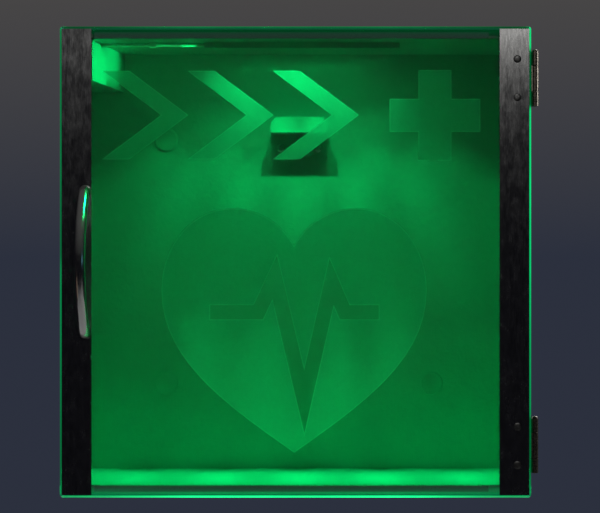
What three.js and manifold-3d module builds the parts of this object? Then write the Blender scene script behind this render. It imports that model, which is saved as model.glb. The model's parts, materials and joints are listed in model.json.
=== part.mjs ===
// Recessed wall cabinet for a defibrillator: a lit steel box behind a clear hinged door.
//
// Millimetres. +X to the right as seen from the front, +Y into the wall, +Z up.
// The origin is the centre of the back panel's rear face.

import * as THREE from 'three';
import { mergeVertices } from 'three/addons/utils/BufferGeometryUtils.js';
import Module from 'manifold-3d';

const wasm = await Module();
wasm.setup();

// ---------------------------------------------------------------- driving dimensions

const SHEET = 1.5;               // steel sheet of the body
const INSIDE_X = 202;            // half width of the inside
const INSIDE_Z = 204.5;          // half height of the inside
const DEPTH = 116;               // from the rear face to the wall plane behind the flange
const FLANGE_HALF = 213;         // half width and half height of the front frame
const GASKET = 3;                // thickness of the compressed gasket
const GASKET_IN = 204.8;         // the gasket's inner edge, from the centre line
const GASKET_OUT = 210.1;        // and its outer edge
const GASKET_LEVEL_X = [-184, 176.5];    // ends of the strips along the top and the bottom
const PANE_HALF = 215;           // the pane is square
const PANE = 6;                  // pane thickness
const PANE_CHAMFER = 1.5;
const PANE_RADIUS = 2.5;
const TRIM = 1.5;                // thickness of the strips on the pane
const TRIM_IN = 186;
const TRIM_OUT = 213;
const TRIM_HALF_Z = 212.5;
const GAP = 0.3;                 // clearance between pieces that are cut by each other

const FLANGE_FRONT = -DEPTH - SHEET;
const PANE_REAR = FLANGE_FRONT - GASKET;
const PANE_FRONT = PANE_REAR - PANE;
const TRIM_FRONT = PANE_FRONT - TRIM;

const HINGE_Z = 167.5;           // height of each hinge's middle above and below the centre
const HINGE_LENGTH = 50;
const HINGE_AXIS_X = 218.6;
const HINGE_AXIS_Y = FLANGE_FRONT - 6;
const KNUCKLE_R = 3.2;
const KNUCKLE_MID = 23.2;        // length of the middle knuckle
const KNUCKLE_GAP = 0.4;
const HINGE_HOLE_R = 1.9;        // holes in the flange and the fixed leaf
const HINGE_HOLE_IN = 9;         // from the hinge axis to those holes
const HINGE_HOLE_HALF = 15;      // half distance between them
const PIN_R = 1.5;
const PIN_BORE_R = 1.6;
const LEAF = 1.2;                // thickness of a hinge leaf
const RIVET_X = 202.2;
const RIVET_R = 2.75;
const RIVET_SPAN = 35;           // distance between the two rivets of a hinge

const HANDLE_X = -191.5;
const HANDLE_HALF = 65.5;        // half distance between the handle's screws
const HANDLE_REACH = 38;         // from the strip's face to the middle of the bow
const HANDLE_WIDE = 10;
const HANDLE_DEEP = 9.2;
const HANDLE_SCREW_R = 2;

const HOOK_X = 3.6;
const HOOK_WIDE = 56;
const HOOK_SHEET = 2;
const HOOK_REACH = 30;           // from the back wall to the front of the lip
const HOOK_LOW = 103;
const HOOK_SHELF = 125.5;
const HOOK_TOP = 140.6;
const HOOK_HOLE_R = 2.3;
const HOOK_HOLE_X = [-18, 18];   // from the hook's middle
const HOOK_HOLE_Z = HOOK_LOW + 9;

const PLUG_X = [-128, 134];      // columns and rows of the blanking plugs
const PLUG_Z = [-120.3, 120.3];
const PLUG_HOLE_R = 9;
const PLUG_HEAD_R = 11.75;

const BOX_FLOOR = 167;           // underside of the alarm box
const BOX_FRONT = -113.5;
const BOX_FRONT_X = -187;        // its right face runs from here at the front
const BOX_BACK_X = -169.1;       // to here at the back wall
const BOX_WALL = 2;

const LAMP = new THREE.Vector3(6, -85.5, INSIDE_Z);
const LAMP_LONG = 182;
const LAMP_WIDE = 16;
const LAMP_WALL = 1;
const LAMP_BOARD = 0.8;          // thickness of the board under the housing's top wall
const LAMP_COVER = [-3, -2.2];   // underside and top of the diffuser, below the ceiling
const LAMP_LIP = 5.2;            // the housing's front wall hangs below the diffuser and hides it

const CABLE_R = 1.5;
const GROMMET = new THREE.Vector3(-186, 0, 186);
const GROMMET_HOLE_R = 8;

const FILM = 0.2;                // thickness of the frosted film

const ROUND = 24;                // facets of a small round piece

// ---------------------------------------------------------------- materials

const paint = (color, roughness, metalness) => (
  new THREE.MeshStandardMaterial({ color, roughness, metalness })
);

const MATERIAL = {
  bodySteel: () => paint(0xd5dad8, 0.55, 0.1),
  gasket: () => paint(0x4b5552, 0.9, 0),
  acrylic: () => new THREE.MeshStandardMaterial({
    color: 0xdff5ea, roughness: 0.05, metalness: 0, transparent: true, opacity: 0.35,
  }),
  brushedAluminium: () => paint(0x8d9191, 0.4, 0.9),
  darkSteel: () => paint(0x2a2522, 0.45, 0.8),
  polishedSteel: () => paint(0xb9bdbe, 0.2, 1),
  zincSteel: () => paint(0xa9adad, 0.35, 0.9),
  film: () => paint(0xe9f3ee, 0.8, 0),
  whitePlastic: () => paint(0xe6e9e6, 0.5, 0),
  blackPlastic: () => paint(0x1d1f20, 0.5, 0),
  circuitBoard: () => paint(0x1c5a3a, 0.5, 0),
  batterySleeve: () => paint(0x39424e, 0.4, 0),
  diffuser: () => paint(0xf4fff8, 0.6, 0),
  rubber: () => paint(0x26292a, 0.9, 0),
};

// ---------------------------------------------------------------- geometry helpers

/** Shared bare positions, without the triangles that collapse to a line at a lathe's poles. */
function weld(geometry) {
  const bare = geometry.clone();
  bare.deleteAttribute('normal');
  bare.deleteAttribute('uv');
  const merged = mergeVertices(bare, 1e-4);
  const corners = merged.index.array;
  const kept = [];
  for (let i = 0; i < corners.length; i += 3) {
    const [a, b, c] = [corners[i], corners[i + 1], corners[i + 2]];
    if (a !== b && b !== c && c !== a) kept.push(a, b, c);
  }
  merged.setIndex(kept);
  return merged;
}

function toSolid(geometry) {
  const { index, attributes } = weld(geometry);
  return new wasm.Manifold(new wasm.Mesh({
    numProp: 3,
    vertProperties: new Float32Array(attributes.position.array),
    triVerts: new Uint32Array(index.array),
  }));
}

function fromSolid(manifold) {
  const { vertProperties, triVerts } = manifold.getMesh();
  const geometry = new THREE.BufferGeometry();
  geometry.setAttribute('position', new THREE.BufferAttribute(vertProperties, 3));
  geometry.setIndex(new THREE.BufferAttribute(triVerts, 1));
  geometry.computeVertexNormals();
  return geometry;
}

const join = (...pieces) => fromSolid(pieces.map(toSolid).reduce((sum, next) => sum.add(next)));
const cut = (body, ...tools) => (
  fromSolid(tools.map(toSolid).reduce((left, next) => left.subtract(next), toSolid(body)))
);

/** A box from its lowest to its highest corner. */
function slab([x0, x1], [y0, y1], [z0, z1]) {
  const box = new THREE.BoxGeometry(x1 - x0, y1 - y0, z1 - z0);
  return box.translate((x0 + x1) / 2, (y0 + y1) / 2, (z0 + z1) / 2);
}

/** An outline drawn in X and Z, as a plate between two depths. */
function plate(outline, y0, y1, curveSegments = 4) {
  const extruded = new THREE.ExtrudeGeometry(outline, { depth: y1 - y0, bevelEnabled: false, curveSegments });
  return extruded.rotateX(Math.PI / 2).translate(0, y1, 0);
}

function outlineOf(points) {
  return new THREE.Shape(points.map(([a, b]) => new THREE.Vector2(a, b)));
}

/** A rectangle with rounded corners, drawn about the origin. */
function roundedRectangle(halfWide, halfHigh, radius) {
  const shape = new THREE.Shape();
  const [w, h, r] = [halfWide, halfHigh, radius];
  shape.moveTo(-w + r, -h);
  shape.lineTo(w - r, -h).absarc(w - r, -h + r, r, -Math.PI / 2, 0);
  shape.lineTo(w, h - r).absarc(w - r, h - r, r, 0, Math.PI / 2);
  shape.lineTo(-w + r, h).absarc(-w + r, h - r, r, Math.PI / 2, Math.PI);
  shape.lineTo(-w, -h + r).absarc(-w + r, -h + r, r, Math.PI, 1.5 * Math.PI);
  return shape;
}

/** A rod along Y between two depths, centred on x and z. */
function rodY(radius, y0, y1, x = 0, z = 0, sides = ROUND) {
  const rod = new THREE.CylinderGeometry(radius, radius, y1 - y0, sides);
  return rod.translate(x, (y0 + y1) / 2, z);
}

/** A rod along Z between two heights, centred on x and y. */
function rodZ(radius, z0, z1, x = 0, y = 0, sides = ROUND) {
  const rod = new THREE.CylinderGeometry(radius, radius, z1 - z0, sides);
  return rod.rotateX(Math.PI / 2).translate(x, y, (z0 + z1) / 2);
}

/** A turned piece about the Y axis. The profile lists radius and depth, with the outside on its right. */
function turned(profile, sides = ROUND) {
  return new THREE.LatheGeometry(profile.map(([r, y]) => new THREE.Vector2(r, y)), sides);
}

/** A screw along +Y with a domed head in front of y = 0 and a hexagon socket. */
function screw(headR, headHigh, shankR, length) {
  const body = turned([
    [0, -headHigh], [headR * 0.6, -headHigh], [headR * 0.92, -headHigh * 0.65], [headR, -headHigh * 0.2],
    [headR, 0], [shankR, 0], [shankR, length - shankR * 0.5], [shankR * 0.5, length], [0, length],
  ], 16);
  return cut(body, rodY(headR * 0.42, -headHigh - 1, -headHigh * 0.35, 0, 0, 6));
}

const cabinet = new THREE.Group();
const door = new THREE.Group();

function add(group, name, geometry, material, x = 0, y = 0, z = 0) {
  const mesh = new THREE.Mesh(geometry, material());
  mesh.name = name;
  mesh.position.set(x, y, z);
  group.add(mesh);
  return mesh;
}

const hingePlaces = [['upper', HINGE_Z], ['lower', -HINGE_Z]];

// ---------------------------------------------------------------- body of the cabinet

function addBody() {
  const outerX = INSIDE_X + SHEET;
  const outerZ = INSIDE_Z + SHEET;
  const holes = PLUG_X.flatMap((x) => PLUG_Z.map((z) => rodY(PLUG_HOLE_R, -9, 9, x, z)));
  holes.push(rodY(GROMMET_HOLE_R, -9, 9, GROMMET.x, GROMMET.z));
  HOOK_HOLE_X.forEach((x) => holes.push(rodY(HOOK_HOLE_R, -9, 9, HOOK_X + x, HOOK_HOLE_Z)));
  const back = cut(slab([-outerX, outerX], [-SHEET, 0], [-outerZ, outerZ]), ...holes);
  add(cabinet, 'back_panel', back, MATERIAL.bodySteel);

  const middleY = (FLANGE_FRONT - SHEET) / 2;
  const side = () => new THREE.BoxGeometry(SHEET, DEPTH, 2 * outerZ);
  const level = () => new THREE.BoxGeometry(2 * INSIDE_X, DEPTH, SHEET);
  add(cabinet, 'side_panel_left', side(), MATERIAL.bodySteel, -INSIDE_X - SHEET / 2, middleY, 0);
  add(cabinet, 'side_panel_right', side(), MATERIAL.bodySteel, INSIDE_X + SHEET / 2, middleY, 0);
  add(cabinet, 'top_panel', level(), MATERIAL.bodySteel, 0, middleY, INSIDE_Z + SHEET / 2);
  add(cabinet, 'bottom_panel', level(), MATERIAL.bodySteel, 0, middleY, -INSIDE_Z - SHEET / 2);

  const through = [FLANGE_FRONT - 9, -DEPTH + 9];
  const screwHoles = hingePlaces.flatMap(([, z]) => [-HINGE_HOLE_HALF, HINGE_HOLE_HALF].map(
    (dz) => rodY(HINGE_HOLE_R, ...through, HINGE_AXIS_X - HINGE_HOLE_IN, z + dz),
  ));
  const [openX, openZ] = [outerX + GAP, outerZ + GAP];
  const frame = cut(
    plate(roundedRectangle(FLANGE_HALF, FLANGE_HALF, 3), FLANGE_FRONT, -DEPTH, 8),
    slab([-openX, openX], through, [-openZ, openZ]),
    ...screwHoles,
  );
  add(cabinet, 'front_frame', frame, MATERIAL.bodySteel);
}

function addGaskets() {
  const wide = GASKET_OUT - GASKET_IN;
  const middle = (GASKET_OUT + GASKET_IN) / 2;
  const y = FLANGE_FRONT - GASKET / 2;
  const rightLong = 2 * (HINGE_Z - HINGE_LENGTH / 2 - 1.5);
  const [x0, x1] = GASKET_LEVEL_X;
  const level = () => new THREE.BoxGeometry(x1 - x0, GASKET, wide);
  const upright = (long) => new THREE.BoxGeometry(wide, GASKET, long);
  add(cabinet, 'gasket_top', level(), MATERIAL.gasket, (x0 + x1) / 2, y, middle);
  add(cabinet, 'gasket_bottom', level(), MATERIAL.gasket, (x0 + x1) / 2, y, -middle);
  add(cabinet, 'gasket_left', upright(2 * GASKET_IN), MATERIAL.gasket, -middle, y, 0);
  add(cabinet, 'gasket_right', upright(rightLong), MATERIAL.gasket, middle, y, 0);
}

function addBlankingPlugs() {
  const neck = PLUG_HOLE_R - GAP;
  const plug = () => turned([
    [0, -3.7], [PLUG_HEAD_R * 0.5, -3.6], [PLUG_HEAD_R * 0.86, -3.2], [PLUG_HEAD_R, -2.4],
    [PLUG_HEAD_R, -SHEET], [neck, -SHEET], [neck, 0], [0, 0],
  ]);
  PLUG_Z.forEach((z, row) => PLUG_X.forEach((x, column) => {
    const name = `blanking_plug_${row ? 'upper' : 'lower'}_${column ? 'right' : 'left'}`;
    add(cabinet, name, plug(), MATERIAL.whitePlastic, x, 0, z);
  }));
}

// ---------------------------------------------------------------- carrying hook

function addHook() {
  const half = HOOK_WIDE / 2;
  const front = -SHEET - HOOK_REACH;
  const baseFront = -SHEET - HOOK_SHEET;
  const base = slab([-half, half], [baseFront, -SHEET], [HOOK_LOW, HOOK_SHELF + HOOK_SHEET]);
  const shelf = slab([-half, half], [front, -SHEET], [HOOK_SHELF, HOOK_SHELF + HOOK_SHEET]);
  const lip = plate(outlineOf([
    [-half, HOOK_SHELF], [half, HOOK_SHELF], [half, HOOK_TOP - 6], [half - 5, HOOK_TOP],
    [-half + 5, HOOK_TOP], [-half, HOOK_TOP - 6],
  ]), front, front + HOOK_SHEET);
  const holes = HOOK_HOLE_X.map((x) => rodY(HOOK_HOLE_R, -9, 9, x, HOOK_HOLE_Z));
  const group = new THREE.Group();
  group.position.x = HOOK_X;
  add(group, 'hook_bracket', cut(join(base, shelf, lip), ...holes), MATERIAL.bodySteel);
  ['hook_screw_left', 'hook_screw_right'].forEach((name, i) => {
    add(group, name, screw(4.2, 2.6, 2, 3.4), MATERIAL.zincSteel, HOOK_HOLE_X[i], baseFront, HOOK_HOLE_Z);
  });
  cabinet.add(group);
}

// ---------------------------------------------------------------- alarm and power box

/** The box's plan in X and Y, drawn in by a wall at the front and right, as a prism between two heights. */
function boxPrism(wall, left, back, z0, z1) {
  const plan = outlineOf([
    [left, BOX_FRONT + wall], [BOX_FRONT_X - wall, BOX_FRONT + wall],
    [BOX_BACK_X - wall, back], [left, back],
  ]);
  return new THREE.ExtrudeGeometry(plan, { depth: z1 - z0, bevelEnabled: false }).translate(0, 0, z0);
}

function addAlarmBox() {
  const left = -INSIDE_X + GAP;
  const ceiling = INSIDE_Z - GAP;
  const back = -SHEET - GAP;
  const slots = [-46, -41, -36, -31, -26].map((y) => (
    slab([-194, -181], [y, y + 2], [BOX_FLOOR - 5, BOX_FLOOR + 5])
  ));
  const screwZ = (BOX_FLOOR + ceiling) / 2;
  const screwX = -195.5;
  const cover = cut(
    boxPrism(0, left, back, BOX_FLOOR, ceiling),
    boxPrism(BOX_WALL, left - 5, back + 5, BOX_FLOOR + BOX_WALL, ceiling - BOX_WALL),
    slab([-187, -184], [-90, -80], [ceiling - BOX_WALL - 5, ceiling - 1]),
    ...slots,
    rodY(1.7, BOX_FRONT - 5, BOX_FRONT + 5, screwX, screwZ),
  );
  add(cabinet, 'alarm_box_cover', cover, MATERIAL.bodySteel);

  const floor = BOX_FLOOR + BOX_WALL + GAP;
  const roof = ceiling - BOX_WALL - GAP;
  const middle = (floor + roof) / 2;
  const base = slab([left, left + 1.5], [BOX_FRONT + BOX_WALL + GAP, back - GAP], [floor, roof]);
  add(cabinet, 'alarm_base_plate', base, MATERIAL.whitePlastic);
  const board = new THREE.BoxGeometry(1.6, 44, 26);
  add(cabinet, 'alarm_circuit_board', board, MATERIAL.circuitBoard, left + 2.3, -82, middle);
  const pack = plate(roundedRectangle(5, 14, 4.5), -17, 17, 5);
  add(cabinet, 'alarm_battery_pack', pack, MATERIAL.batterySleeve, left + 8.6, -82, middle);
  const sounder = turned([[0, -9], [3, -9], [3, -7], [10, -7], [11, -6], [11, 0], [0, 0]]);
  const sounderMesh = add(cabinet, 'alarm_sounder', sounder, MATERIAL.blackPlastic, left + 1.5, -36, middle);
  sounderMesh.rotation.z = Math.PI / 2;
  add(cabinet, 'alarm_cover_screw', screw(2.8, 1.8, 1.4, 6), MATERIAL.zincSteel, screwX, BOX_FRONT, screwZ);

  const neck = GROMMET_HOLE_R - GAP;
  const grommet = turned([
    [4, 0], [4, -6], [neck - 2, -6], [neck + 2.4, -3.4], [neck + 2.4, -SHEET - GAP],
    [neck, -SHEET - GAP], [neck, 0], [4, 0],
  ]);
  add(cabinet, 'cable_grommet', grommet, MATERIAL.rubber, GROMMET.x, 0, GROMMET.z);
}

// ---------------------------------------------------------------- lamp under the ceiling

function addLamp() {
  const lamp = new THREE.Group();
  lamp.position.copy(LAMP);
  const [halfLong, halfWide] = [LAMP_LONG / 2, LAMP_WIDE / 2];
  const [inLong, inWide] = [halfLong - LAMP_WALL, halfWide - LAMP_WALL];
  const rearLip = LAMP_COVER[0];
  const housing = cut(
    slab([-halfLong, halfLong], [-halfWide, halfWide], [-LAMP_LIP, 0]),
    slab([-inLong, inLong], [-inWide, inWide], [-LAMP_LIP - 5, -LAMP_WALL]),
    slab([-halfLong - 5, halfLong + 5], [-inWide, halfWide + 5], [-LAMP_LIP - 5, rearLip]),
  );
  add(lamp, 'lamp_housing', housing, MATERIAL.bodySteel);
  const [long, wide] = [inLong - GAP, inWide - GAP];
  const board = slab([-long, long], [-wide, wide], [-LAMP_WALL - LAMP_BOARD, -LAMP_WALL]);
  add(lamp, 'lamp_board', board, MATERIAL.circuitBoard);
  const diffuser = slab([-long, long], [-wide, wide], LAMP_COVER);
  add(lamp, 'lamp_diffuser', diffuser, MATERIAL.diffuser);
  cabinet.add(lamp);

  const cableZ = INSIDE_Z - GAP - CABLE_R;
  const start = LAMP.x - halfLong - GAP;
  const route = new THREE.CatmullRomCurve3([
    new THREE.Vector3(start, LAMP.y, cableZ), new THREE.Vector3(start - 20, LAMP.y, cableZ),
    new THREE.Vector3(start - 48, LAMP.y - 3, cableZ), new THREE.Vector3(start - 76, LAMP.y, cableZ),
    new THREE.Vector3(-182, LAMP.y, cableZ),
  ]);
  const section = new THREE.Shape().absarc(0, 0, CABLE_R, 0, 2 * Math.PI);
  const cable = new THREE.ExtrudeGeometry(section, { extrudePath: route, steps: 20, curveSegments: 4 });
  add(cabinet, 'lamp_cable', cable, MATERIAL.whitePlastic);

  const clipAt = start - 48;
  const saddle = cut(
    slab([-3, 3], [-4, 4], [-CABLE_R * 2 - 1.4, 0]),
    slab([-9, 9], [-CABLE_R - 0.5, CABLE_R + 0.5], [-CABLE_R * 2 - 0.6, 5]),
  );
  add(cabinet, 'lamp_cable_clip', saddle, MATERIAL.whitePlastic, clipAt, LAMP.y - 3, INSIDE_Z);
}

// ---------------------------------------------------------------- catch and door switch

function addCatchAndSwitch() {
  const left = -INSIDE_X + GAP;
  const catchZ = 110;
  const switchZ = 136;
  const housing = join(
    slab([left, left + 12], [PANE_REAR + 6, PANE_REAR + 16], [catchZ - 9, catchZ + 9]),
    slab([left + 2, left + 10], [PANE_REAR + 1.8, PANE_REAR + 7], [catchZ - 7, catchZ + 7]),
  );
  add(cabinet, 'magnetic_catch', housing, MATERIAL.blackPlastic);
  const strike = plate(roundedRectangle(5, 8, 2), -1.5, 0);
  add(door, 'catch_strike_plate', strike, MATERIAL.zincSteel, left + 6, PANE_REAR + 1.5, catchZ);

  const reed = plate(roundedRectangle(4.5, 12, 2), -10, 0);
  add(cabinet, 'door_switch', reed, MATERIAL.whitePlastic, left + 4.5, PANE_REAR + 15, switchZ);
  const magnet = plate(roundedRectangle(3.5, 8, 1.5), -1.9, 0);
  add(door, 'door_switch_magnet', magnet, MATERIAL.blackPlastic, left + 5, PANE_REAR + 1.9, switchZ);
}

// ---------------------------------------------------------------- hinges

function addHinge(place, z) {
  const half = HINGE_LENGTH / 2;
  const midHalf = KNUCKLE_MID / 2;
  const bore = rodZ(PIN_BORE_R, -half - 5, half + 5);
  const flange = FLANGE_FRONT - HINGE_AXIS_Y;
  const outer = [[-half, -midHalf - KNUCKLE_GAP], [midHalf + KNUCKLE_GAP, half]];

  const fixedPieces = [slab([-13.6, 1.4], [flange - LEAF, flange], [-half, half])];
  for (const span of outer) {
    fixedPieces.push(slab([-1.4, 1.4], [2, flange - LEAF / 2], span), rodZ(KNUCKLE_R, ...span));
  }
  const fixedHoles = [-HINGE_HOLE_HALF, HINGE_HOLE_HALF].map((dz) => (
    rodY(HINGE_HOLE_R, flange - 5, flange + 5, -HINGE_HOLE_IN, dz)
  ));
  const fixedLeaf = cut(join(...fixedPieces), bore, ...fixedHoles);

  const edge = PANE_HALF - HINGE_AXIS_X;
  const rear = PANE_REAR - HINGE_AXIS_Y;
  const doorPieces = [
    slab([-22.6, edge], [rear, rear + LEAF], [-half, half]),
    slab([edge - 1, edge + 1.4], [rear, rear + LEAF], [-midHalf, midHalf]),
    slab([edge + 0.2, edge + 1.4], [-3, rear + LEAF], [-midHalf, midHalf]),
    rodZ(KNUCKLE_R, -midHalf, midHalf),
  ];
  const rivetHoles = [-1, 1].map((side) => (
    rodY(RIVET_R + GAP, rear - 5, rear + 5, RIVET_X - HINGE_AXIS_X, side * RIVET_SPAN / 2)
  ));
  const doorLeaf = cut(join(...doorPieces), bore, ...rivetHoles);

  const group = new THREE.Group();
  group.position.set(HINGE_AXIS_X, HINGE_AXIS_Y, z);
  add(group, `hinge_fixed_leaf_${place}`, fixedLeaf, MATERIAL.darkSteel);
  const pin = turned([[0, -half - 0.6], [PIN_R - 0.4, -half - 0.6], [PIN_R, -half - 0.2], [PIN_R, half + 0.3],
    [2.4, half + 0.3], [2.4, half + 1], [1.5, half + 1.6], [0, half + 1.6]]).rotateX(Math.PI / 2);
  add(group, `hinge_pin_${place}`, pin, MATERIAL.darkSteel);
  const shankR = HINGE_HOLE_R - GAP;
  for (const [label, dz] of [['low', -HINGE_HOLE_HALF], ['high', HINGE_HOLE_HALF]]) {
    const flush = turned([[0, -2.4], [1, -2.4], [shankR, -2], [shankR, 0], [0, 0]]);
    const name = `hinge_screw_${place}_${label}`;
    add(group, name, flush, MATERIAL.darkSteel, -HINGE_HOLE_IN, flange + SHEET - GAP, dz);
  }
  cabinet.add(group);

  const doorGroup = new THREE.Group();
  doorGroup.position.set(HINGE_AXIS_X, HINGE_AXIS_Y, z);
  add(doorGroup, `hinge_door_leaf_${place}`, doorLeaf, MATERIAL.darkSteel);
  door.add(doorGroup);

  for (const [label, side] of [['low', -1], ['high', 1]]) {
    const rivet = turned([[0, TRIM_FRONT], [RIVET_R - 0.4, TRIM_FRONT], [RIVET_R, TRIM_FRONT + 0.4],
      [RIVET_R, PANE_REAR + LEAF], [0, PANE_REAR + LEAF]]);
    const rivetZ = z + side * RIVET_SPAN / 2;
    add(door, `hinge_rivet_${place}_${label}`, rivet, MATERIAL.darkSteel, RIVET_X, 0, rivetZ);
  }
}

// ---------------------------------------------------------------- pane, strips and handle

function addPaneAndStrips() {
  const half = PANE_HALF - PANE_CHAMFER;
  const pane = new THREE.ExtrudeGeometry(roundedRectangle(half, half, PANE_RADIUS - PANE_CHAMFER), {
    depth: PANE - 2 * PANE_CHAMFER, bevelThickness: PANE_CHAMFER, bevelSize: PANE_CHAMFER, bevelSegments: 1,
    curveSegments: 5,
  }).rotateX(Math.PI / 2).translate(0, PANE_REAR - PANE_CHAMFER, 0);
  const through = [PANE_FRONT - 9, PANE_REAR + 9];
  const rivetHoles = hingePlaces.flatMap(([, z]) => [-1, 1].map(
    (side) => rodY(RIVET_R + GAP, ...through, RIVET_X, z + side * RIVET_SPAN / 2),
  ));
  const screwHoles = [-HANDLE_HALF, HANDLE_HALF].map((z) => (
    rodY(HANDLE_SCREW_R + GAP, ...through, HANDLE_X, z)
  ));
  add(door, 'door_pane', cut(pane, ...rivetHoles, ...screwHoles), MATERIAL.acrylic);

  const strip = (x0, x1) => slab([x0, x1], [TRIM_FRONT, PANE_FRONT], [-TRIM_HALF_Z, TRIM_HALF_Z]);
  add(door, 'trim_strip_left', cut(strip(-TRIM_OUT, -TRIM_IN), ...screwHoles), MATERIAL.brushedAluminium);
  add(door, 'trim_strip_right', cut(strip(TRIM_IN, TRIM_OUT), ...rivetHoles), MATERIAL.brushedAluminium);
}

/** The bow: a rod that rises from the strip, curves over and comes back, in the YZ plane. */
function addHandle() {
  const bow = new THREE.CatmullRomCurve3([
    [8, -HANDLE_HALF - 1], [0, -HANDLE_HALF], [-9, -HANDLE_HALF + 3], [-21, -HANDLE_HALF * 0.72],
    [-32, -HANDLE_HALF * 0.42], [-HANDLE_REACH, 0], [-32, HANDLE_HALF * 0.42], [-21, HANDLE_HALF * 0.72],
    [-9, HANDLE_HALF - 3], [0, HANDLE_HALF], [8, HANDLE_HALF + 1],
  ].map(([y, z]) => new THREE.Vector3(0, y, z)));
  const section = new THREE.Shape().absellipse(0, 0, HANDLE_WIDE / 2, HANDLE_DEEP / 2, 0, 2 * Math.PI);
  const rod = new THREE.ExtrudeGeometry(section, { extrudePath: bow, steps: 34, curveSegments: 6 });
  const tap = (z) => rodY(HANDLE_SCREW_R + GAP, -12, 9, 0, z, 12);
  const handle = cut(rod, slab([-20, 20], [0, 30], [-99, 99]), tap(-HANDLE_HALF), tap(HANDLE_HALF));
  add(door, 'handle', handle, MATERIAL.polishedSteel, HANDLE_X, TRIM_FRONT, 0);

  for (const [place, z] of [['upper', HANDLE_HALF], ['lower', -HANDLE_HALF]]) {
    const washer = turned([[HANDLE_SCREW_R + GAP, 0.8], [HANDLE_SCREW_R + GAP, 0], [5, 0], [5, 0.8],
      [HANDLE_SCREW_R + GAP, 0.8]]);
    add(door, `handle_washer_${place}`, washer, MATERIAL.zincSteel, HANDLE_X, PANE_REAR, z);
    const fixing = add(door, `handle_screw_${place}`, screw(3.8, 2.2, HANDLE_SCREW_R, 17), MATERIAL.zincSteel,
      HANDLE_X, PANE_REAR + 0.8, z);
    fixing.rotation.z = Math.PI;
  }
}

// ---------------------------------------------------------------- frosted film on the pane's rear face

/** A bold chevron that points right. */
function chevron(x0, x1, z0, z1, stroke) {
  const middle = (z0 + z1) / 2;
  return outlineOf([
    [x0, z0], [x0 + stroke, z0], [x1, middle], [x0 + stroke, z1], [x0, z1], [x1 - stroke, middle],
  ]);
}

/** A plus sign with arms of one width. */
function plusSign(cx, cz, span, arm) {
  const [s, a] = [span / 2, arm / 2];
  return outlineOf([
    [-a, -s], [a, -s], [a, -a], [s, -a], [s, a], [a, a],
    [a, s], [-a, s], [-a, a], [-s, a], [-s, -a], [-a, -a],
  ].map(([x, z]) => [cx + x, cz + z]));
}

/** A heart whose halves mirror each other about its own middle. */
function heart(cx) {
  const shape = new THREE.Shape();
  shape.moveTo(cx, -174.4);
  shape.bezierCurveTo(cx + 66, -128, cx + 121.3, -88, cx + 121.3, -25.7);
  shape.bezierCurveTo(cx + 121.3, 17, cx + 92, 48.9, cx + 57.4, 48.9);
  shape.bezierCurveTo(cx + 34, 48.9, cx + 12, 37, cx, 14.6);
  shape.bezierCurveTo(cx - 12, 37, cx - 34, 48.9, cx - 57.4, 48.9);
  shape.bezierCurveTo(cx - 92, 48.9, cx - 121.3, 17, cx - 121.3, -25.7);
  shape.bezierCurveTo(cx - 121.3, -88, cx - 66, -128, cx, -174.4);
  return shape;
}

/** The outline of a line of even width through the points, with mitred corners. */
function bandOutline(points, width) {
  const path = points.map(([x, z]) => new THREE.Vector2(x, z));
  const side = (sign) => path.map((point, i) => {
    const before = path[Math.max(i - 1, 0)];
    const after = path[Math.min(i + 1, path.length - 1)];
    const into = (i ? point.clone().sub(before) : after.clone().sub(point)).normalize();
    const out = (i < path.length - 1 ? after.clone().sub(point) : point.clone().sub(before)).normalize();
    const normal = new THREE.Vector2(-into.y - out.y, into.x + out.x).normalize();
    const reach = width / 2 / normal.dot(new THREE.Vector2(-into.y, into.x));
    return point.clone().addScaledVector(normal, sign * reach);
  });
  return [...side(1), ...side(-1).reverse()];
}

function addFilm() {
  const [z0, z1] = [93.8, 174.9];
  const stroke = 25;
  const y = [PANE_REAR, PANE_REAR + FILM];
  const row = [['left', -177, -98], ['middle', -99, -20], ['right', -21, 58]];
  for (const [place, x0, x1] of row) {
    add(door, `film_chevron_${place}`, plate(chevron(x0, x1, z0, z1, stroke), ...y), MATERIAL.film);
  }
  add(door, 'film_plus', plate(plusSign(127.5, 134.1, 83, 30.2), ...y), MATERIAL.film);

  const outline = heart(-1.3);
  const pulse = [[-78, -46], [-34, -46], [-19, -14], [8, -128], [33, -18], [45, -46], [76, -46]];
  outline.holes.push(new THREE.Path(bandOutline(pulse, 13)));
  add(door, 'film_heart', plate(outline, ...y, 14), MATERIAL.film);
}

// ---------------------------------------------------------------- the whole

addBody();
addGaskets();
addBlankingPlugs();
addHook();
addAlarmBox();
addLamp();
addCatchAndSwitch();
hingePlaces.forEach(([place, z]) => addHinge(place, z));
addPaneAndStrips();
addHandle();
addFilm();

const wallCabinet = new THREE.Group();
wallCabinet.add(cabinet, door);

export default wallCabinet;
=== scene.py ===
"""Looks of a lit, recessed wall cabinet for a defibrillator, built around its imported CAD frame.

Metres, in the frame's own axes: +X right, +Y into the wall, +Z up, with the origin at the middle of the
back panel's rear face.
"""

import json
import math

import bmesh
import bpy
from mathutils import Matrix, Vector


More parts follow.
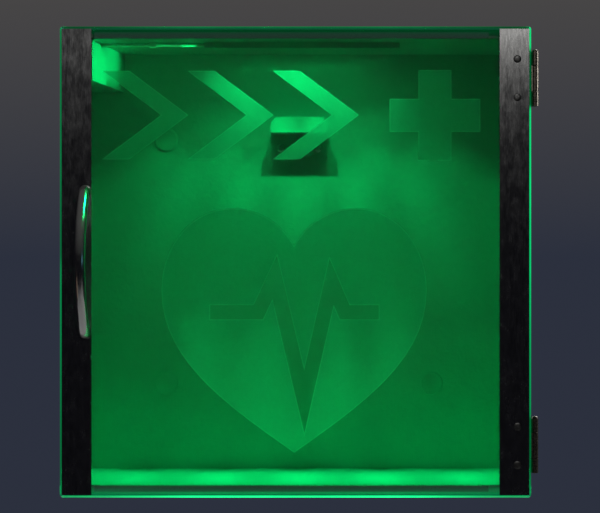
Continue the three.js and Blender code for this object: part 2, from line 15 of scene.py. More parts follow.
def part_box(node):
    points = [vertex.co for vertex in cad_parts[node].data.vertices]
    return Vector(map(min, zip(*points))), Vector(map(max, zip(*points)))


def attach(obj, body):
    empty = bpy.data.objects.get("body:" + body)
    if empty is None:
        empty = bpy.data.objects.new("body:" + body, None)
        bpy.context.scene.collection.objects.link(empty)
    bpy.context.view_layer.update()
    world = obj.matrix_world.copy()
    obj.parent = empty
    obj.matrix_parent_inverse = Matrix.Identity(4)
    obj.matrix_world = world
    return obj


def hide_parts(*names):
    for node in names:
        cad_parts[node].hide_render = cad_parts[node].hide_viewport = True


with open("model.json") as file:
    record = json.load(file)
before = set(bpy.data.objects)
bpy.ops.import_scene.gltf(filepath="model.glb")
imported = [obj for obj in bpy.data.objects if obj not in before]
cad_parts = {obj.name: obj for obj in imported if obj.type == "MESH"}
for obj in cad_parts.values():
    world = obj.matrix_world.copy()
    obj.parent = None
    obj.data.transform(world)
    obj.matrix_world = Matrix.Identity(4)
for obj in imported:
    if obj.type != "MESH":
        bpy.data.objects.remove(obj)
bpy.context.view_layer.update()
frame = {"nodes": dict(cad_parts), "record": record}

NODES = frame["nodes"]
MM = 0.001
WELD = 1e-6                                # corners closer than this become one
SHARP = 35                                 # degrees: an edge that turns more than this stays sharp
scene = bpy.context.scene

# ------------------------------------------------------------------ places taken from the frame

PANE_LOW, PANE_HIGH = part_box("door_pane")
LAMP_LOW, LAMP_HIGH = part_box("lamp_board")
LAMP_MIDDLE = (LAMP_LOW + LAMP_HIGH) / 2
HINGE_LOW, HINGE_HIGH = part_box("hinge_door_leaf_upper")
HINGE_Z = (HINGE_LOW.z + HINGE_HIGH.z) / 2
HINGE_HALF = (HINGE_HIGH.z - HINGE_LOW.z) / 2
CHIPS = 6
CHIP_PITCH = 21 * MM
CHIP_ROW = LAMP_MIDDLE.x - 2.4 * MM        # middle of the row of chips
CHIP_X = [CHIP_ROW + (i - (CHIPS - 1) / 2) * CHIP_PITCH for i in range(CHIPS)]

LAMP_GREEN = (0.0, 1.0, 0.21)
# Colour of the painted glow on the pane's edges and the film's rims.
PAINTED_GLOW_GREEN = (0.0, 1.0, 0.3)
# The lobes of each chip's light: spread, lean towards the back wall and fan from chip to chip, all in
# degrees, and watts.
LAMP_BEAMS = ((22, 2, 8, 9.8), (40, 26, 14, 0.78), (60, 34, 8, 0.17), (70, -38, 5, 0.14))
LAMP_GLOW = 0.037                          # watts of the whole row's wide glow
# The end chip's beams towards the alarm box: spread in degrees, direction and watts.
END_BEAMS = ((40, (-1, -0.03, -0.22), 1.7), (36, (-1, 0.5, -0.06), 0.6))


# ------------------------------------------------------------------ node material helper


class Look:
    """One material: a Principled shader, with short calls for the nodes that feed it."""

    def __init__(self, name, **values):
        self.material = bpy.data.materials.new(name)
        self.material.use_nodes = True
        self.tree = self.material.node_tree
        self.shader = self.tree.nodes["Principled BSDF"]
        self.place = self.node("ShaderNodeTexCoord").outputs["Object"]
        self.set(**values)

    def set(self, **values):
        for name, value in values.items():
            socket = self.shader.inputs[name.replace("_", " ")]
            socket.default_value = (*value, 1.0) if isinstance(value, tuple) else value

    def node(self, kind, **settings):
        made = self.tree.nodes.new(kind)
        for name, value in settings.items():
            setattr(made, name, value)
        return made

    def link(self, source, target):
        if isinstance(target, str):
            target = self.shader.inputs[target]
        self.tree.links.new(source, target)

    def stretched(self, x, y, z):
        """Object coordinates scaled along each axis, for streaks."""
        mapping = self.node("ShaderNodeMapping")
        mapping.inputs["Scale"].default_value = (x, y, z)
        self.link(self.place, mapping.inputs["Vector"])
        return mapping.outputs["Vector"]

    def noise(self, scale, detail=2.0, rough=0.5, vector=None, distortion=0.0):
        """Soft noise from 0 to 1."""
        made = self.node("ShaderNodeTexNoise")
        made.inputs["Scale"].default_value = scale
        made.inputs["Detail"].default_value = detail
        made.inputs["Roughness"].default_value = rough
        made.inputs["Distortion"].default_value = distortion
        self.link(vector or self.place, made.inputs["Vector"])
        return made.outputs["Fac"]

    def spots(self, scale):
        """Distance from the middle of the nearest cell."""
        made = self.node("ShaderNodeTexVoronoi")
        made.inputs["Scale"].default_value = scale
        self.link(self.place, made.inputs["Vector"])
        return made.outputs["Distance"]

    def levels(self, source, low, high, out_low=0.0, out_high=1.0):
        """Smooth step from one level to another as the source goes from low to high."""
        made = self.node("ShaderNodeMapRange", interpolation_type="SMOOTHSTEP")
        made.inputs["From Min"].default_value = low
        made.inputs["From Max"].default_value = high
        made.inputs["To Min"].default_value = out_low
        made.inputs["To Max"].default_value = out_high
        self.link(source, made.inputs["Value"])
        return made.outputs["Result"]

    def maths(self, operation, a, b=0.0):
        """One calculation with sockets or plain numbers."""
        made = self.node("ShaderNodeMath", operation=operation)
        for socket, value in zip(made.inputs, (a, b)):
            if isinstance(value, (int, float)):
                socket.default_value = value
            else:
                self.link(value, socket)
        return made.outputs["Value"]

    def tint(self, factor, first, second):
        """Mixes two colours. Sockets 0, 6 and 7 of a colour Mix node are its factor, A and B."""
        made = self.node("ShaderNodeMix", data_type="RGBA")
        for socket, value in ((made.inputs[6], first), (made.inputs[7], second)):
            if isinstance(value, tuple):
                socket.default_value = (*value, 1.0)
            else:
                self.link(value, socket)
        self.link(factor, made.inputs[0])
        return made.outputs[2]

    def output(self, shader):
        self.link(shader, self.tree.nodes["Material Output"].inputs["Surface"])

    def bump(self, *heights):
        """Stacks bumps, each a pair of height and depth in metres, and feeds the shader's normal."""
        normal = None
        for height, depth in heights:
            made = self.node("ShaderNodeBump")
            made.inputs["Distance"].default_value = depth
            made.inputs["Strength"].default_value = 1.0
            self.link(height, made.inputs["Height"])
            if normal:
                self.link(normal, made.inputs["Normal"])
            normal = made.outputs["Normal"]
        self.link(normal, "Normal")

    def worn_edges(self):
        """How sharply the surface turns outwards, from 0 to 1."""
        return self.levels(self.node("ShaderNodeNewGeometry").outputs["Pointiness"], 0.52, 0.62)


# ------------------------------------------------------------------ materials


def powder_coat():
    """Pale powder coat with orange peel, faint mottling and rubbed edges."""
    look = Look("powder_coat", Coat_Weight=0.35, Coat_Roughness=0.16, Specular_IOR_Level=0.5)
    mottle = look.levels(look.noise(9, 4, 0.6), 0.3, 0.7)
    speckle = look.levels(look.noise(210, 3, 0.6), 0.35, 0.7)
    base = look.tint(mottle, (0.52, 0.535, 0.51), (0.58, 0.595, 0.565))
    base = look.tint(look.maths("MULTIPLY", speckle, 0.25), base, (0.43, 0.46, 0.44))
    base = look.tint(look.maths("MULTIPLY", look.worn_edges(), 0.3), base, (0.4, 0.41, 0.4))
    look.link(base, "Base Color")
    look.link(look.levels(look.noise(60, 3), 0.3, 0.7, 0.36, 0.5), "Roughness")
    look.bump((look.noise(230, 2, 0.55, distortion=0.4), 0.5 * MM), (look.noise(900, 2), 0.06 * MM))
    return look.material


def brushed_aluminium():
    """Vertical brushing: short streaks, finer hairlines and soft blotches."""
    look = Look("brushed_aluminium", Metallic=1.0, Anisotropic=0.8)
    streak = look.noise(1.0, 3, 0.65, look.stretched(1000, 800, 120))
    hair = look.noise(1.0, 2, 0.6, look.stretched(2700, 900, 45))
    blotch = look.noise(130, 4, 0.65, look.stretched(1.3, 1, 0.6))
    shade = look.levels(streak, 0.32, 0.68, 0.4, 1.0)
    shade = look.maths("MULTIPLY", shade, look.levels(blotch, 0.3, 0.7, 0.75, 1.0))
    shade = look.maths("MULTIPLY", shade, look.levels(hair, 0.3, 0.7, 0.75, 1.0))
    look.link(look.tint(shade, (0.2, 0.2, 0.2), (0.72, 0.72, 0.71)), "Base Color")
    look.link(look.levels(blotch, 0.3, 0.7, 0.2, 0.28), "Roughness")
    look.bump((streak, 0.02 * MM), (hair, 0.008 * MM))
    return look.material


def dark_bronze():
    """Satin, nearly black bronze finish, rubbed lighter on its edges."""
    look = Look("dark_bronze", Metallic=0.85)
    cloud = look.noise(300, 4, 0.6)
    base = look.tint(look.levels(cloud, 0.35, 0.7), (0.02, 0.018, 0.015), (0.045, 0.038, 0.03))
    base = look.tint(look.maths("MULTIPLY", look.worn_edges(), 0.7), base, (0.3, 0.26, 0.2))
    look.link(base, "Base Color")
    look.link(look.levels(look.noise(700, 3), 0.3, 0.7, 0.22, 0.36), "Roughness")
    look.bump((look.noise(1600, 2, 0.5, look.stretched(1, 1, 0.2)), 0.02 * MM))
    return look.material


def rivet_steel():
    """Grey satin steel, a little lighter than the hinges."""
    look = Look("rivet_steel", Metallic=1.0)
    cloud = look.noise(500, 3, 0.6)
    base = look.tint(look.levels(cloud, 0.3, 0.7), (0.09, 0.09, 0.088), (0.17, 0.17, 0.165))
    look.link(base, "Base Color")
    look.link(look.levels(look.noise(900, 2), 0.3, 0.7, 0.3, 0.45), "Roughness")
    look.bump((cloud, 0.01 * MM))
    return look.material


def polished_steel():
    """Polished round rod with fine lines along it."""
    look = Look("polished_steel", Metallic=1.0)
    lines = look.noise(1.0, 3, 0.6, look.stretched(2600, 2600, 40))
    look.link(look.tint(look.levels(lines, 0.3, 0.7), (0.46, 0.45, 0.44), (0.62, 0.61, 0.6)), "Base Color")
    look.link(look.levels(look.noise(120, 3), 0.3, 0.7, 0.16, 0.26), "Roughness")
    look.bump((lines, 0.008 * MM))
    return look.material


def zinc():
    """Zinc plating with a faint crystal pattern."""
    look = Look("zinc", Metallic=1.0)
    crystal = look.spots(900)
    look.link(look.tint(look.levels(crystal, 0.1, 0.8), (0.5, 0.51, 0.53), (0.7, 0.7, 0.69)), "Base Color")
    look.link(look.levels(look.noise(500), 0.3, 0.7, 0.25, 0.42), "Roughness")
    look.bump((crystal, 0.01 * MM))
    return look.material


def moulded(name, dark, light, rough=0.45, grain=1400, depth=0.02 * MM):
    """Moulded plastic: an even colour with faint flow clouds and a spark-eroded grain."""
    look = Look(name)
    look.link(look.tint(look.levels(look.noise(40, 3), 0.3, 0.7), dark, light), "Base Color")
    look.link(look.levels(look.noise(260, 3), 0.3, 0.7, rough - 0.07, rough + 0.07), "Roughness")
    look.bump((look.noise(grain, 3, 0.6), depth))
    return look.material


def gasket_foam():
    """Closed-cell foam: small pits, a matt grey-green body and a faint painted glow in place of the room
    light that reaches it.
    """
    # Painted glow: a faint emission lifts the foam behind the pane.
    look = Look("gasket_foam", Roughness=0.9, Emission_Color=(0.6, 1.0, 0.85), Emission_Strength=0.02)
    cells = look.spots(1300)
    base = look.tint(look.levels(cells, 0.1, 0.7), (0.1, 0.125, 0.115), (0.2, 0.235, 0.22))
    look.link(base, "Base Color")
    look.bump((cells, 0.1 * MM), (look.noise(90, 2), 0.1 * MM))
    return look.material


def clear_acrylic():
    """Clear pane, with a painted green glow on its cut edges and chamfers in place of the lamp's light that
    the sheet carries to them.
    """
    look = Look("clear_acrylic", Roughness=0.0, IOR=1.49, Transmission_Weight=1.0)
    parts = look.node("ShaderNodeSeparateXYZ")
    look.link(look.place, parts.inputs[0])
    x, z = parts.outputs["X"], parts.outputs["Z"]
    x_from_middle = look.maths("ABSOLUTE", x)
    z_from_middle = look.maths("ABSOLUTE", z)
    outermost = look.maths("MAXIMUM", x_from_middle, z_from_middle)
    half = PANE_HIGH.z

    def halves(place, low_side, high_side):
        """One value on each side of the pane's middle."""
        return look.levels(place, -10 * MM, 10 * MM, low_side, high_side)

    # Left and right edges: painted glow, brighter higher up and on the right, with painted shade beside the
    # hinge leaves.
    painted_glow_by_height = look.levels(z, -half, 0.62 * half, 0.03, 1.0)
    off_hinge = look.maths("ABSOLUTE", look.maths("SUBTRACT", z_from_middle, HINGE_Z))
    painted_hinge_shade = look.levels(off_hinge, HINGE_HALF - 2 * MM, HINGE_HALF + 5 * MM, 0.1, 1.0)
    painted_hinge_shade = look.maths("MAXIMUM", painted_hinge_shade, halves(x, 1.0, 0.0))
    painted_side_glow = look.maths("MULTIPLY", look.maths("MULTIPLY", painted_glow_by_height, painted_hinge_shade), halves(x, 0.13, 0.6))

    # Top and bottom edges: painted glow, fading towards the corners, and much brighter at the bottom.
    level_fade = look.levels(x_from_middle, 0.35 * half, 1.02 * half, 1.0, 0.2)
    painted_level_glow = look.maths("MULTIPLY", level_fade, halves(z, 1.0, 0.1))

    # Only the faces that slope or stand on edge at the rim take that painted glow.
    facing = look.node("ShaderNodeSeparateXYZ")
    look.link(look.node("ShaderNodeNewGeometry").outputs["True Normal"], facing.inputs[0])
    sloping = look.levels(look.maths("ABSOLUTE", facing.outputs["Y"]), 0.9, 0.98, 1.0, 0.0)
    sideways = look.levels(look.maths("ABSOLUTE", facing.outputs["X"]), 0.3, 0.4)
    chosen = look.node("ShaderNodeMix", data_type="FLOAT")
    look.link(sideways, chosen.inputs[0])
    look.link(painted_level_glow, chosen.inputs[2])
    look.link(painted_side_glow, chosen.inputs[3])
    drift = look.levels(look.noise(14, 2), 0.3, 0.7, 0.75, 1.1)
    strength = look.maths("MULTIPLY", look.maths("MULTIPLY", chosen.outputs[0], drift), sloping)
    strength = look.maths("MULTIPLY", strength, look.levels(outermost, 0.98 * half, 0.99 * half))

    # The flat border has a faint painted glow all round, and its rim is tinted deep green: the sheet's own
    # tint, deepened as painted lamp light.
    painted_border_glow = look.levels(outermost, 0.945 * half, 0.985 * half)
    strength = look.maths("ADD", strength, look.maths("MULTIPLY", painted_border_glow, halves(z, 0.055, 0.015)))
    rim = look.levels(outermost, 0.96 * half, 0.985 * half)
    look.link(look.tint(rim, (0.82, 1.0, 0.93), (0.1, 0.8, 0.5)), "Base Color")
    # Painted glow: this emission stands in for lamp light carried in the sheet to its edges and border.
    look.set(Emission_Color=PAINTED_GLOW_GREEN)
    look.link(strength, "Emission Strength")
    return look.material


def frosted_film(name, body, veil, glow):
    """Frosted vinyl: its veil scatters light from both sides, the rest passes straight through, and any
    glow is painted.
    """
    look = Look(name, Roughness=0.6, Specular_IOR_Level=0.2)
    # The emission here is a painted glow, not a lamp.
    look.set(Emission_Color=PAINTED_GLOW_GREEN, Emission_Strength=glow)
    haze = look.levels(look.noise(420, 3, 0.6), 0.3, 0.7)
    colour = look.tint(haze, tuple(0.94 * c for c in body), body)
    look.link(colour, "Base Color")
    scatter = look.node("ShaderNodeBsdfTranslucent")
    look.link(colour, scatter.inputs["Color"])
    sheet = look.node("ShaderNodeMixShader")
    sheet.inputs[0].default_value = 0.8
    look.link(look.shader.outputs[0], sheet.inputs[1])
    look.link(scatter.outputs[0], sheet.inputs[2])
    clear = look.node("ShaderNodeBsdfTransparent")
    mix = look.node("ShaderNodeMixShader")
    mix.inputs[0].default_value = veil
    look.link(clear.outputs[0], mix.inputs[1])
    look.link(sheet.outputs[0], mix.inputs[2])
    look.output(mix.outputs[0])
    look.bump((look.noise(2200, 2), 0.01 * MM))
    return look.material


def circuit_board():
    """Solder mask over copper tracks."""
    look = Look("circuit_board", Coat_Weight=0.4, Coat_Roughness=0.2)
    grid = look.node("ShaderNodeTexBrick", offset=0.5)
    grid.inputs["Scale"].default_value = 260
    grid.inputs["Mortar Size"].default_value = 0.03
    look.link(look.place, grid.inputs["Vector"])
    look.link(look.tint(grid.outputs["Fac"], (0.02, 0.12, 0.055), (0.05, 0.22, 0.1)), "Base Color")
    look.link(look.levels(look.noise(300), 0.3, 0.7, 0.3, 0.45), "Roughness")
    look.bump((grid.outputs["Fac"], 0.03 * MM))
    return look.material


def lit_diffuser():
    """Opal cover, lit green by the chips above it."""
    look = Look("lit_diffuser", Roughness=0.5, Base_Color=(0.7, 0.95, 0.8))
    look.set(Emission_Color=(0.05, 1.0, 0.32))
    ribs = look.noise(1.0, 1, 0.5, look.stretched(900, 40, 1))
    look.link(look.levels(ribs, 0.3, 0.7, 0.5, 0.9), "Emission Strength")
    look.bump((ribs, 0.05 * MM))
    return look.material


def lit_chip():
    """Phosphor face of a chip."""
    look = Look("lit_chip", Roughness=0.3, Base_Color=(0.75, 0.95, 0.6))
    look.set(Emission_Color=(0.1, 1.0, 0.4), Emission_Strength=6.0)
    look.bump((look.noise(3000), 0.01 * MM))
    return look.material


def stage_floor():
    """Plain pale floor with a faint cloud in it."""
    look = Look("stage_floor", Roughness=0.8)
    look.link(look.tint(look.noise(3, 4), (0.62, 0.62, 0.62), (0.7, 0.7, 0.69)), "Base Color")
    return look.material


MATERIALS = {
    "painted_steel": powder_coat(),
    "gasket_foam": gasket_foam(),
    "clear_acrylic": clear_acrylic(),
    "brushed_aluminium": brushed_aluminium(),
    "dark_steel": dark_bronze(),
    "polished_steel": polished_steel(),
    "zinc_steel": zinc(),
    "frosted_film": frosted_film("frosted_film", (0.8, 0.95, 0.95), 0.75, 0.0),
    "white_plastic": moulded("white_plastic", (0.7, 0.72, 0.7), (0.78, 0.8, 0.78)),
    "black_plastic": moulded("black_plastic", (0.02, 0.021, 0.022), (0.035, 0.036, 0.038)),
    "circuit_board": circuit_board(),
    "battery_sleeve": moulded("battery_sleeve", (0.03, 0.05, 0.09), (0.05, 0.07, 0.12), 0.3),
    "lamp_diffuser": lit_diffuser(),
    "rubber": moulded("rubber", (0.02, 0.02, 0.02), (0.04, 0.04, 0.041), 0.75, 900, 0.05 * MM),
}
# The rim's lighter colour and faint glow are a painted highlight on the film's cut edge.
FILM_RIM_PAINTED_HIGHLIGHT = frosted_film("film_rim_painted_highlight", (0.9, 1.0, 1.0), 0.9, 0.03)
FILM_BACK = frosted_film("film_back", (0.8, 0.95, 0.95), 0.06, 0.0)
CHIP = lit_chip()
RIVET = rivet_steel()
PLUG = moulded("grey_plastic", (0.47, 0.49, 0.47), (0.52, 0.54, 0.52))

# ------------------------------------------------------------------ CAD nodes that stay


def round_edges(piece, width, angle=SHARP):
    """Bevels the edges that turn more than an angle in degrees."""
    bevel = piece.modifiers.new("rounded", "BEVEL")
    bevel.width = width
    bevel.segments = 2
    bevel.limit_method = "ANGLE"
    bevel.angle_limit = math.radians(angle)
    return bevel


def split_edges(piece, angle=SHARP):
    """Keeps the shading crisp on edges that turn more than an angle in degrees."""
    split = piece.modifiers.new("crisp", "EDGE_SPLIT")
    split.split_angle = math.radians(angle)


def soften(node, width):
    """Rounds a CAD node's sharp edges a little, as folding or moulding does, and smooths its shading."""
    piece = NODES[node]
    for face in piece.data.polygons:
        face.use_smooth = True
    bevel = round_edges(piece, width)
    bevel.miter_outer = "MITER_ARC"
    split_edges(piece)


SLOT_OF = {part["node"]: part["material_slot"] for part in frame["record"]["subparts"]}
for node, piece in NODES.items():
    piece.data.materials.clear()
    piece.data.materials.append(PLUG if node.startswith("blanking_plug") else MATERIALS[SLOT_OF[node]])

for node in [name for name in NODES if name.endswith("_panel") or name.startswith("side_panel_")]:
    soften(node, 0.3 * MM)
soften("front_frame", 0.3 * MM)
for node in ("hook_bracket", "alarm_box_cover", "trim_strip_left", "trim_strip_right", "lamp_housing"):
    soften(node, 0.35 * MM)
for node in ("magnetic_catch", "door_switch", "door_switch_magnet", "lamp_cable_clip", "cable_grommet"):
    soften(node, 0.4 * MM)
SMALL_WORDS = ("plug", "rivet", "screw", "washer", "pin", "leaf", "cable", "sounder", "battery", "strike")
for node in NODES:
    if any(word in node for word in SMALL_WORDS) and not NODES[node].modifiers:
        soften(node, 0.15 * MM)


# ------------------------------------------------------------------ mesh helpers


def finish_mesh(name, bm, body, materials, replaced=(), smooth=True, bevel=0.0, angle=SHARP):
    """Turns a bmesh into a piece that rides on a body."""
    bmesh.ops.remove_doubles(bm, verts=bm.verts, dist=WELD)
    bmesh.ops.recalc_face_normals(bm, faces=bm.faces)
    mesh = bpy.data.meshes.new(name)
    bm.to_mesh(mesh)
    bm.free()
    for face in mesh.polygons:
        face.use_smooth = smooth
    for material in materials:
        mesh.materials.append(material)
    piece = bpy.data.objects.new(name, mesh)
    scene.collection.objects.link(piece)
    if bevel:
        round_edges(piece, bevel)
    split_edges(piece, angle)
    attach(piece, body)
    if replaced:
        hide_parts(*replaced)


def block(bm, low, high):
    """Adds a box between two corners."""
    low, high = Vector(low), Vector(high)
    made = bmesh.ops.create_cube(bm, size=1.0)["verts"]
    matrix = Matrix.Translation((low + high) / 2) @ Matrix.Diagonal((*(high - low), 1.0))
    bmesh.ops.transform(bm, matrix=matrix, verts=made)


def lathe(bm, profile, at, sides):
    """Turns (radius, depth) points about the Y axis through a place, from the axis back to the axis."""
    rings = []
    for radius, depth in profile:
        turns = [2 * math.pi * k / sides for k in range(sides)] if radius else [0.0]
        ring = [Vector((radius * math.sin(turn), depth, radius * math.cos(turn))) for turn in turns]
        rings.append([bm.verts.new(Vector(at) + point) for point in ring])
    for first, second in zip(rings, rings[1:]):
        for k in range(sides):
            corners = [first[k % len(first)], first[(k + 1) % len(first)],
                       second[(k + 1) % len(second)], second[k % len(second)]]
            corners = list(dict.fromkeys(corners))
            if len(corners) > 2:
                bm.faces.new(corners)


# ------------------------------------------------------------------ handle


# The bow's arc from its lower end to its upper: place along it, and how far it stands out, as shares of the
# half length and of the reach.
HANDLE_ARC = (
    (-1, 0.0), (-0.953, 0.237), (-0.72, 0.553), (-0.42, 0.842), (0.0, 1.0),
    (0.42, 0.842), (0.72, 0.553), (0.953, 0.237), (1, 0.0),
)
HANDLE_OVAL = 0.92                         # the rod's depth as a share of its width
HANDLE_OVERRUN = 0.25                      # how far the sweep runs past each foot, in knots


def spline_point(knots, t):
    """The point at t on a Catmull-Rom curve through the knots, one unit of t from knot to knot."""
    i = int(t)
    f = t - i
    p1, p2 = knots[i], knots[i + 1]
    p0 = knots[i - 1] if i else 2 * p1 - p2
    p3 = knots[i + 2] if i + 2 < len(knots) else 2 * p2 - p1
    return 0.5 * (2 * p1 + (p2 - p0) * f + (2 * p0 - 5 * p1 + 4 * p2 - p3) * f * f
                  + (3 * p1 - p0 - 3 * p2 + p3) * f ** 3)


def make_handle():
    """The bow: an oval rod swept along its arc, with flat feet on the strip."""
    low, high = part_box("handle")
    middle = (low + high) / 2
    foot = high.y
    half_wide = (high.x - low.x) / 2
    half_deep = HANDLE_OVAL * half_wide
    reach = foot - low.y - half_deep
    screw_low, screw_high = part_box("handle_screw_upper")
    half_length = (screw_low.z + screw_high.z) / 2
    knots = [Vector((middle.x, foot - out * reach, along * half_length)) for along, out in HANDLE_ARC]
    # A knot behind each foot steers the rod into the strip.
    knots.insert(0, knots[0] + Vector((0, 8 * MM, -1 * MM)))
    knots.append(knots[-1] + Vector((0, 8 * MM, 1 * MM)))

    steps, sides, nudge = 96, 28, 0.02
    across = Vector((1, 0, 0))
    bm = bmesh.new()
    rings = []
    for i in range(steps + 1):
        t = 1 - HANDLE_OVERRUN + (len(knots) - 3 + 2 * HANDLE_OVERRUN) * i / steps
        here = spline_point(knots, t)
        ahead = (spline_point(knots, t + nudge) - spline_point(knots, t - nudge)).normalized()
        outward = across.cross(ahead).normalized()
        ring = []
        for k in range(sides):
            turn = 2 * math.pi * k / sides
            point = here + across * half_wide * math.cos(turn) + outward * half_deep * math.sin(turn)
            point.y = min(point.y, foot)
            ring.append(bm.verts.new(point))
        rings.append(ring)
    for first, second in zip(rings, rings[1:]):
        for k in range(sides):
            bm.faces.new((first[k], first[(k + 1) % sides], second[(k + 1) % sides], second[k]))
    bm.faces.new(rings[0])
    bm.faces.new(rings[-1])
    bmesh.ops.dissolve_degenerate(bm, dist=WELD, edges=bm.edges)
    looks = [MATERIALS["polished_steel"]]
    finish_mesh("bow_handle", bm, "door", looks, ["handle"], angle=50)


make_handle()

# ------------------------------------------------------------------ frosted film with cut rims


FILM_OFF_PANE = 0.1 * MM                   # keeps the film's front face clear of the pane's rear face
FILM_RIM_WIDE = 0.75 * MM


def make_film(node):
    """The CAD film with a narrow rim along its cut edge, made lighter and faintly glowing as a painted
    highlight.
    """
    bm = bmesh.new()
    bm.from_mesh(NODES[node].data)
    bmesh.ops.remove_doubles(bm, verts=bm.verts, dist=WELD)
    fronts = [face for face in bm.faces if face.normal.y < -0.9]
    corners = list({vert for face in fronts for vert in face.verts})
    bmesh.ops.translate(bm, vec=(0, FILM_OFF_PANE, 0), verts=corners)
    rim = bmesh.ops.inset_region(
        bm, faces=fronts, thickness=FILM_RIM_WIDE, use_even_offset=True, use_boundary=True)
    for face in rim["faces"]:
        face.material_index = 1
    for face in bm.faces:
        if face.normal.y > -0.5:
            face.material_index = 2
    looks = [MATERIALS["frosted_film"], FILM_RIM_PAINTED_HIGHLIGHT, FILM_BACK]
    finish_mesh(node.replace("film_", "frosted_"), bm, "door", looks, [node], smooth=False)


for node in [name for name in NODES if name.startswith("film_")]:
    make_film(node)

# ------------------------------------------------------------------ rivets of the hinges


def make_rivet(node):
    """A rivet with a low domed head that covers its hole in the strip."""
    low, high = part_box(node)
    middle = (low + high) / 2
    radius = (high.x - low.x) / 2
    head = 1.3 * radius
    under_head = low.y - 0.02 * MM
    bm = bmesh.new()
    lathe(bm, [
        (0.0, low.y - 0.42 * MM), (0.45 * head, low.y - 0.38 * MM), (0.8 * head, low.y - 0.24 * MM),
        (head, under_head), (radius, under_head), (radius, high.y), (0.0, high.y),
    ], (middle.x, 0.0, middle.z), 32)
    finish_mesh(node.replace("hinge_rivet", "domed_rivet"), bm, "door", [RIVET], [node])


for node in [name for name in NODES if name.startswith("hinge_rivet_")]:
    make_rivet(node)

# ------------------------------------------------------------------ lamp's chips


BOARD_PART_TALL = 0.3 * MM
CHIP_SIZE = (3.5 * MM, 2.8 * MM)
RESISTOR_SIZE = (2 * MM, 1.2 * MM)
RESISTOR_ASIDE = 7 * MM                    # from a chip's middle to its resistor's


def make_board_part(name, x, size, material, bevel):
    """A small flat part on the underside of the lamp's board, with its middle at a place along it."""
    long_half, wide_half = size[0] / 2, size[1] / 2
    y, top = LAMP_MIDDLE.y, LAMP_LOW.z
    bm = bmesh.new()
    block(bm, (x - long_half, y - wide_half, top - BOARD_PART_TALL), (x + long_half, y + wide_half, top))
    finish_mesh(name, bm, "cabinet", [material], bevel=bevel)


def make_chips():
    """Light-emitting chips, and a resistor beside each."""
    black = MATERIALS["black_plastic"]
    for i, x in enumerate(CHIP_X, 1):
        aside = x + RESISTOR_ASIDE
        make_board_part(f"lamp_chip_{i}", x, CHIP_SIZE, CHIP, 0.08 * MM)
        make_board_part(f"lamp_resistor_{i}", aside, RESISTOR_SIZE, black, 0.05 * MM)


make_chips()

# ------------------------------------------------------------------ lights, camera, stage


def area_light(name, at, towards, size, power, colour):
    """A soft round light that doesn't show in the picture or through the pane."""
    data = bpy.data.lights.new(name, "AREA")
    data.shape = "DISK"
    data.size = size
    data.energy = power
    data.color = colour
    light = bpy.data.objects.new(name, data)
    light.location = at
    light.rotation_euler = (Vector(towards) - Vector(at)).to_track_quat("-Z", "Y").to_euler()
    light.visible_transmission = False
    light.visible_camera = False
    scene.collection.objects.link(light)
    return light


def spot_light(name, at, aim, spread, power):
    """A small soft-edged beam of the lamp's colour."""
    data = bpy.data.lights.new(name, "SPOT")
    data.energy = power
    data.color = LAMP_GREEN
    data.spot_size = math.radians(spread)
    data.spot_blend = 1.0
    data.shadow_soft_size = 2.5 * MM
    light = bpy.data.objects.new(name, data)
    light.location = at
    light.rotation_euler = aim.to_track_quat("-Z", "Y").to_euler()
    light.visible_transmission = False
    scene.collection.objects.link(light)
    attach(light, "cabinet")


def make_lamp_lights():
    """Each chip throws several lobes, the row glows as one, and the end chip throws two more sideways."""
    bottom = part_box("lamp_diffuser")[0].z - 0.4 * MM
    for i, x in enumerate(CHIP_X):
        for spread, lean, fan, power in LAMP_BEAMS:
            aside = math.radians(fan * (i - (CHIPS - 1) / 2))
            aim = Vector((math.tan(aside), math.tan(math.radians(lean)), -1))
            spot_light(f"chip_{i + 1}_beam_{spread}", (x, LAMP_MIDDLE.y, bottom), aim, spread, power)
    end = (LAMP_LOW.x - 3 * MM, LAMP_MIDDLE.y - 6 * MM, bottom - 2.5 * MM)
    for spread, aim, power in END_BEAMS:
        spot_light(f"end_chip_beam_{spread}", end, Vector(aim), spread, power)
    at = Vector((LAMP_MIDDLE.x, LAMP_MIDDLE.y, bottom))
    aim = at + Vector((0, 0.17, -1))
    glow = area_light("lamp_glow", at, aim, CHIPS * CHIP_PITCH, LAMP_GLOW, LAMP_GREEN)
    glow.data.shape = "RECTANGLE"
    glow.data.size_y = 4 * MM
    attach(glow, "cabinet")


def link_light(lights, names, state):
    """Lets the lights reach only the named pieces (INCLUDE), or all but them (EXCLUDE)."""
    listed = bpy.data.collections.new(f"{state.lower()}_{lights[0].name}")
    for name in names:
        listed.objects.link(bpy.data.objects[name])
    for member in listed.collection_objects:
        member.light_linking.link_state = state
    for light in lights:
        light.light_linking.receiver_collection = listed


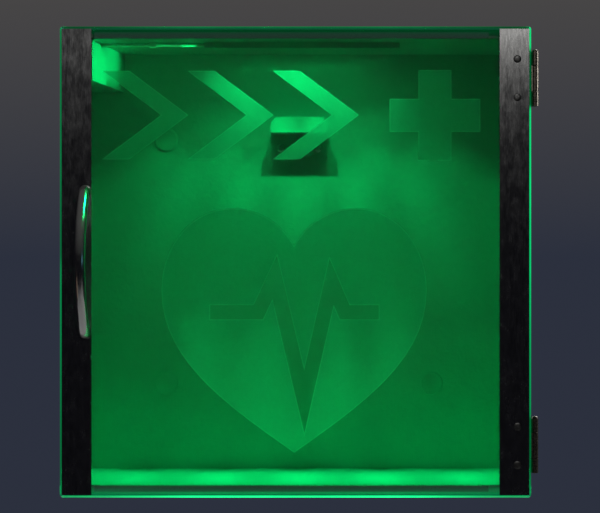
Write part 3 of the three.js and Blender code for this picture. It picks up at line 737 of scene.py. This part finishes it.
def make_studio():
    """Soft studio light that leaves out the pane and the handle, so that the lamp alone lights the pane.

    The key also leaves out the frame and its gaskets. Three small accents light the handle alone.
    """
    edge = ["front_frame"] + [name for name in NODES if name.startswith("gasket_")]
    key = area_light("key", (0.34, -2.05, 0.74), (0, -0.13, 0), 0.55, 2.4, (1.0, 0.99, 0.97))
    link_light([key], ["door_pane", "bow_handle", *edge], "EXCLUDE")
    around = [
        area_light("side", (1.9, 0.3, 0.35), (0.2, -0.1, 0), 0.6, 8, (0.97, 0.98, 1.0)),
        area_light("back", (0.9, 1.7, 1.2), (0, 0, 0), 1.4, 30, (1.0, 1.0, 1.0)),
        area_light("back_fill", (-1.7, 1.0, 0.1), (0, 0, 0), 1.2, 14, (0.92, 0.96, 1.0)),
    ]
    link_light(around, ["door_pane", "bow_handle"], "EXCLUDE")
    accents = [
        area_light("warm_fill", (-1.3, -0.75, -0.7), (-0.19, -0.15, 0), 0.4, 0.12, (1.0, 0.72, 0.5)),
        area_light("cool_fill", (1.0, -1.0, 0.1), (-0.19, -0.15, 0), 0.3, 0.22, (0.25, 0.75, 1.0)),
        area_light("lamp_spill", (-0.12, -0.16, 0.15), (-0.19, -0.15, 0.05), 0.03, 0.13, LAMP_GREEN),
    ]
    link_light(accents, ["bow_handle"], "INCLUDE")


def make_world():
    """A sky that shows directly, through the pane and in glossy reflections, and lights nothing else."""
    world = bpy.data.worlds.new("studio")
    scene.world = world
    world.use_nodes = True
    tree = world.node_tree
    tree.nodes.clear()
    parts = tree.nodes.new("ShaderNodeSeparateXYZ")
    tree.links.new(tree.nodes.new("ShaderNodeTexCoord").outputs["Generated"], parts.inputs[0])
    path = tree.nodes.new("ShaderNodeLightPath")
    output = tree.nodes.new("ShaderNodeOutputWorld")

    def background(span, low, high):
        """Light that changes with the height of its direction, over a span from low to high."""
        height = tree.nodes.new("ShaderNodeMapRange")
        height.inputs["From Min"].default_value, height.inputs["From Max"].default_value = span
        tree.links.new(parts.outputs["Z"], height.inputs["Value"])
        blend = tree.nodes.new("ShaderNodeMix")
        blend.data_type = "RGBA"
        blend.inputs[6].default_value = (*low, 1)
        blend.inputs[7].default_value = (*high, 1)
        tree.links.new(height.outputs["Result"], blend.inputs[0])
        made = tree.nodes.new("ShaderNodeBackground")
        tree.links.new(blend.outputs[2], made.inputs["Color"])
        return made

    def maths(operation, a, b):
        """A calculation whose result stays from 0 to 1."""
        made = tree.nodes.new("ShaderNodeMath")
        made.operation = operation
        made.use_clamp = True
        tree.links.new(a, made.inputs[0])
        if isinstance(b, float):
            made.inputs[1].default_value = b
        else:
            tree.links.new(b, made.inputs[1])
        return made.outputs["Value"]

    seen = background((0.0, 0.17), (0.025, 0.03, 0.048), (0.066, 0.063, 0.062))
    mirrored = background((0.15, 0.7), (0.006, 0.006, 0.008), (0.08, 0.08, 0.08))
    direct = maths("SUBTRACT", path.outputs["Is Glossy Ray"], path.outputs["Is Transmission Ray"])
    tree.links.new(direct, mirrored.inputs["Strength"])
    mix = tree.nodes.new("ShaderNodeMixShader")
    bounces = maths("ADD", path.outputs["Diffuse Depth"], path.outputs["Glossy Depth"])
    straight = maths("LESS_THAN", bounces, 0.5)
    through = maths("MULTIPLY", path.outputs["Is Transmission Ray"], straight)
    tree.links.new(maths("MAXIMUM", path.outputs["Is Camera Ray"], through), mix.inputs[0])
    tree.links.new(mirrored.outputs[0], mix.inputs[1])
    tree.links.new(seen.outputs[0], mix.inputs[2])
    tree.links.new(mix.outputs[0], output.inputs["Surface"])


FLOOR_HALF = 1.2
FLOOR_MIDDLE = (0, -0.1, -0.9)


def make_floor():
    """A pale square well below the cabinet."""
    bm = bmesh.new()
    bmesh.ops.create_grid(bm, x_segments=1, y_segments=1, size=FLOOR_HALF)
    bmesh.ops.translate(bm, vec=FLOOR_MIDDLE, verts=bm.verts)
    mesh = bpy.data.meshes.new("floor")
    bm.to_mesh(mesh)
    bm.free()
    mesh.materials.append(stage_floor())
    floor = bpy.data.objects.new("floor", mesh)
    scene.collection.objects.link(floor)


CAMERA_DISTANCE = 1.45                     # from the pane's front to the camera
CAMERA_ASIDE = 4.1 * MM
CAMERA_UP = 5 * MM
CAMERA_LENS = 95.4                         # focal length in millimetres for a sensor 36 mm wide


def make_camera():
    """Looks straight at the pane from just beside its middle."""
    data = bpy.data.cameras.new("camera")
    data.sensor_width = 36
    data.lens = CAMERA_LENS
    data.clip_start = 0.05
    camera = bpy.data.objects.new("camera", data)
    camera.location = (CAMERA_ASIDE, PANE_LOW.y - CAMERA_DISTANCE, CAMERA_UP)
    camera.rotation_euler = (math.radians(90), 0, 0)
    scene.collection.objects.link(camera)
    scene.camera = camera


make_lamp_lights()
make_studio()
make_world()
make_floor()
make_camera()
scene.view_settings.view_transform = "Standard"
scene.view_settings.look = "None"
